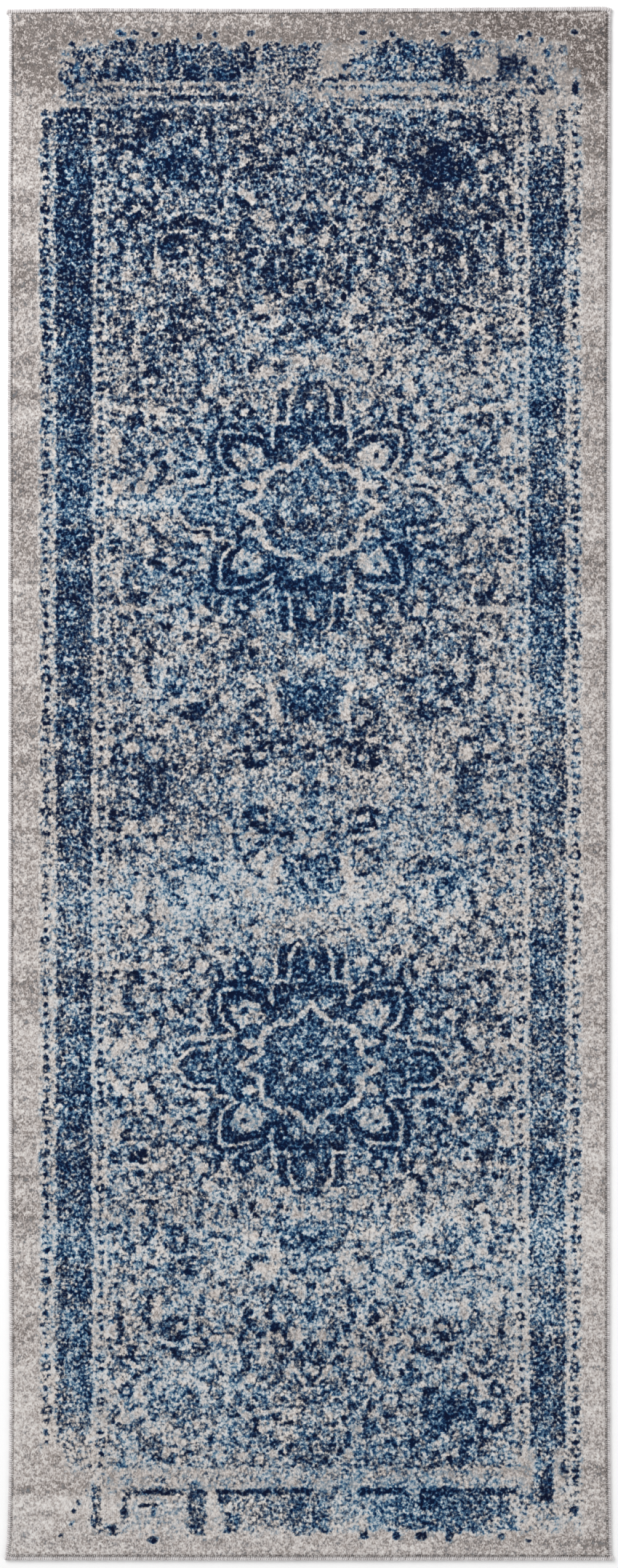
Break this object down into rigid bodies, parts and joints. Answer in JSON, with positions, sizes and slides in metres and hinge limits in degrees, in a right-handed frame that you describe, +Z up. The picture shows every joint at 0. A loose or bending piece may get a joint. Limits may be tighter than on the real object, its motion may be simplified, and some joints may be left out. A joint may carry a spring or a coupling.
{
  "type": "runner rug",
  "caption": "Long narrow cut-pile runner rug lying flat, with a worn medallion design and a serged yarn edge on all its sides.",
  "frame": {"origin": "centre of the underside, on the floor", "axes": "+X across the width, +Y along the length, +Z up out of the pile"},
  "size_m": [0.7984, 2.0393, 0.009],
  "materials": {
    "pile": "short cut pile in navy, blue, cream and taupe yarn, worn and speckled",
    "serging": "light grey yarn wrapped closely over the edge"
  },
  "bodies": {
    "root": {"rug_body": "pile", "serging_left": "serging", "serging_right": "serging", "serging_top": "serging", "serging_bottom": "serging"}
  },
  "joints": []
}
